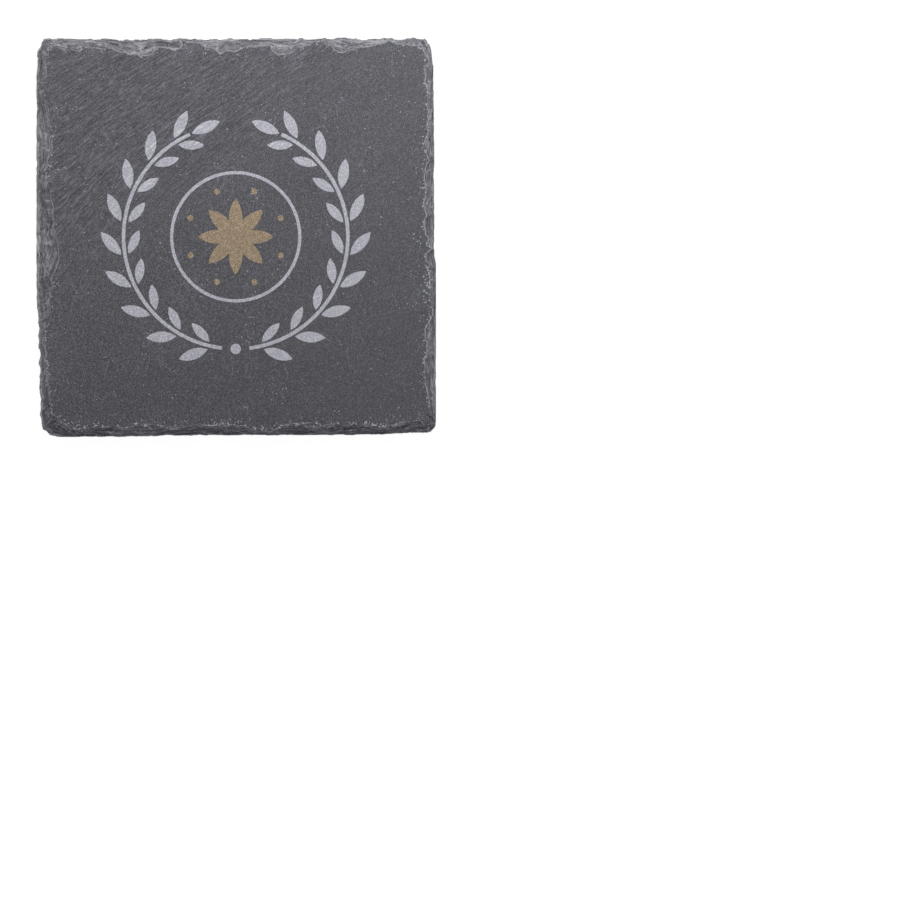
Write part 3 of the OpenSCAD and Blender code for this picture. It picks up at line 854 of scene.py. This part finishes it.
def dot_film(x0, y0, radius):
    """A round dot: the disc grid, scaled."""
    disc_x, disc_y = disc_grid(10)
    return inked(*rough_edge(x0 + disc_x * radius, y0 + disc_y * radius))


def hoop_film(radius, width):
    """A closed band: a flat closed profile of ten points, carried once round the circle."""
    across = np.concatenate([np.linspace(-0.5, 0.5, 5), np.linspace(0.5, -0.5, 5)]) * width
    lift = np.repeat([INK_HIGH, INK_LOW], 5)
    angle = np.linspace(0, 2 * np.pi, 480, endpoint=False)[:, None]
    reach = radius + across
    flat_x, flat_y = rough_edge(reach * np.cos(angle), reach * np.sin(angle))
    points = np.stack([flat_x, flat_y, face_height(flat_x, flat_y) + lift], 2).reshape(-1, 3)
    numbers = np.arange(len(points)).reshape(-1, 10)
    onward, beside = np.roll(numbers, -1, 0), np.roll(numbers, -1, 1)
    faces = np.stack([numbers, beside, np.roll(onward, -1, 1), onward], 2).reshape(-1, 4)
    return points, [faces]


def printed_ink(name, low, high, bare, roughness):
    """Acrylic ink, jetted on the slate and cured by lamp: a matt film through which the grain
    shows as darker flecks, paler on the tops of the grain where it lies thickest."""
    material, add = new_material(name)
    where, shade, height = slate_pattern(add)[:3]
    spots = add("TexNoise", {"Vector": where, "Scale": 1 / (SPOT * MM), "Detail": 2})
    light = add("MapRange", shade, -0.05, 0.7)
    colour = add("Mix RGBA", light, linear(low), linear(high))
    gaps = add("MapRange", spots, 0.66, 0.74, 0.0, 0.5)
    colour = add("Mix RGBA", gaps, colour, linear(bare))
    bump = add("Bump", {"Distance": 0.03 * MM, "Height": height})
    return surfaced(material, add, colour, roughness, 1.49, bump, **{"Specular IOR Level": 0.3})


leaves = []
for pair in PAIR_ANGLES:
    angle = np.radians(pair)
    for side, size in ((1, 1.0), (-1, INNER_LEAF)):
        root = WREATH_RADIUS + side * (STEM_WIDTH / 2 + LEAF_GAP)
        heading = pair + 90 - side * LEAF_LEAN
        leaves.append((root * np.cos(angle), root * np.sin(angle), heading, size))
angle = np.radians(BRANCH_END)
leaves.append((WREATH_RADIUS * np.cos(angle) - LEAF_GAP * np.sin(angle),
               WREATH_RADIUS * np.sin(angle) + LEAF_GAP * np.cos(angle), BRANCH_END + 90, 1.0))
white_skins = []
for hand in (1, -1):
    for leaf_x, leaf_y, heading, size in leaves:
        white_skins.append(leaf_film(hand * leaf_x, leaf_y, heading if hand > 0 else 180 - heading,
                                     LEAF_LENGTH * size, LEAF_WIDTH * size))
white_skins += [arc_film(WREATH_RADIUS, STEM_WIDTH, BRANCH_START, BRANCH_END),
                arc_film(WREATH_RADIUS, STEM_WIDTH, 180 - BRANCH_END, 180 - BRANCH_START),
                dot_film(0, -WREATH_RADIUS, KNOT_RADIUS), hoop_film(RING_RADIUS, RING_WIDTH)]
white_ink = printed_ink("white ink", "#b0b0bc", "#f6f6ff", "#8a8a90", 0.6)
white_print = piece("print_white_film", white_skins, white_ink)
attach(white_print, "root")
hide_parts("print_white")

# ---- Gold print ------------------------------
# A rosette of eight petals and a ring of eight berries at the centre of the wreath, in the
# same kind of ink, tinted a flat gold. It is laid down and cured together with the white.
ROSETTE_RADIUS, PETAL_WIDTH = 9.5, 3.4
BERRY_CIRCLE, BERRY_RADIUS = 12.2, 0.75


def rosette_film(length, width):
    """Eight pointed petals in one film. A petal of length L and width W lies between two circles
    of radius B = (L^2 + W^2) / (4 W). The disc grid is scaled, at each angle p from the nearest
    petal's middle, to the reach L cos p - (2 B - W) sin |p| of those circles."""
    disc_x, disc_y = disc_grid(120)
    bow = (length ** 2 + width ** 2) / (4 * width)
    angle = np.arctan2(disc_y, disc_x)
    off = np.abs((angle + np.pi / 8) % (np.pi / 4) - np.pi / 8)
    reach = length * np.cos(off) - (2 * bow - width) * np.sin(off)
    return inked(*rough_edge(disc_x * reach, disc_y * reach))


gold_skins = [rosette_film(ROSETTE_RADIUS, PETAL_WIDTH)]
for berry in range(8):
    angle = (berry + 0.5) * np.pi / 4
    gold_skins.append(dot_film(BERRY_CIRCLE * np.cos(angle), BERRY_CIRCLE * np.sin(angle),
                               BERRY_RADIUS))
gold_ink = printed_ink("gold ink", "#8a7962", "#dfc8ab", "#82796a", 0.5)
gold_print = piece("print_gold_film", gold_skins, gold_ink)
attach(gold_print, "root")
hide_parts("print_gold")

# ---- Floor and backdrop ----------------------
# A white studio table that runs out into a white room. The camera sees both as white, and
# the floor keeps the soft shadow that the coaster throws on it.
FLOOR_HALF = 4000.0


def backdrop_rays(add):
    """The rays to which floor and room show as plain white: the camera's own, and those that a
    glossy or clear surface sends on. It is the largest of Light Path's three marks."""
    path = add("LightPath").outputs
    seen = add("Math MAXIMUM", path["Is Camera Ray"], path["Is Glossy Ray"])
    return add("Math MAXIMUM", seen, path["Is Transmission Ray"])


floor_material, add = new_material("studio floor")
plain = add("BsdfDiffuse", (0.85, 0.85, 0.85, 1))
faint = add("BsdfDiffuse", (0.17, 0.17, 0.17, 1))
glow = add("Emission", (1, 1, 1, 1), 0.95)
shown = add("AddShader", faint, glow)
add("OutputMaterial", add("MixShader", backdrop_rays(add), plain, shown))
floor_mesh = bpy.data.meshes.new("studio_floor")
corner = FLOOR_HALF * MM
floor_mesh.from_pydata([(-corner, -corner, 0), (corner, -corner, 0), (corner, corner, 0),
                        (-corner, corner, 0)], [], [(0, 1, 2, 3)])
floor_mesh.materials.append(floor_material)
floor = placed("studio_floor", floor_mesh)

room = bpy.data.worlds.new("studio room")
room.use_nodes = True
room.node_tree.nodes.clear()
add = partial(add_node, room.node_tree)
facing = add("SeparateXYZ", add("TexCoord").outputs["Generated"]).outputs["Y"]
softly = add("MapRange", facing, -1.0, 1.0, 0.28, 0.40)     # brighter behind the coaster
fill = add("Background", (1, 0.985, 1, 1), softly)
white = add("Background", (1, 1, 1, 1), 1.0)
add("OutputWorld", add("MixShader", backdrop_rays(add), fill, white))
bpy.context.scene.world = room

# ---- Studio light ----------------------------
# One broad soft box behind the coaster and a little to the right, high up, so that the rear
# break catches the light and the front one lies in soft shade.
LAMP_DISTANCE, LAMP_HEIGHT_ANGLE, LAMP_TURN = 200.0, 50, 14
LAMP_SIZE = 150.0
LAMP_WATTS = 0.215
lamp_data = bpy.data.lights.new("soft box", "AREA")
lamp_data.shape = "SQUARE"
lamp_data.size = LAMP_SIZE * MM
lamp_data.energy = LAMP_WATTS
lamp = placed("soft box", lamp_data)
lamp_rise, lamp_turn = np.radians(LAMP_HEIGHT_ANGLE), np.radians(LAMP_TURN)
level_part = LAMP_DISTANCE * np.cos(lamp_rise) * MM
lamp.location = (level_part * np.sin(lamp_turn), level_part * np.cos(lamp_turn),
                 LAMP_DISTANCE * np.sin(lamp_rise) * MM)
lamp.rotation_euler = lamp.location.to_track_quat("Z", "Y").to_euler()
lamp.visible_camera = False

# ---- Camera ----------------------------------
# It looks straight down. The coaster lies at the upper left of the frame, 4 pixels to the
# millimetre, as in the photograph, so the camera stands to its lower right.
CAMERA_X, CAMERA_Y, CAMERA_HEIGHT = 53.5, -53.24, 1600.0
FRAME_WIDTH = 225.2      # mm of table across the 900 pixels
SENSOR_WIDTH = 36.0
camera_data = bpy.data.cameras.new("studio camera")
camera_data.sensor_width = SENSOR_WIDTH
camera_data.lens = SENSOR_WIDTH * (CAMERA_HEIGHT - BROW) / FRAME_WIDTH
camera_data.clip_start, camera_data.clip_end = 0.05, 20
camera = placed("studio camera", camera_data)
camera.location = (CAMERA_X * MM, CAMERA_Y * MM, CAMERA_HEIGHT * MM)
bpy.context.scene.camera = camera
bpy.context.scene.view_settings.view_transform = "Standard"
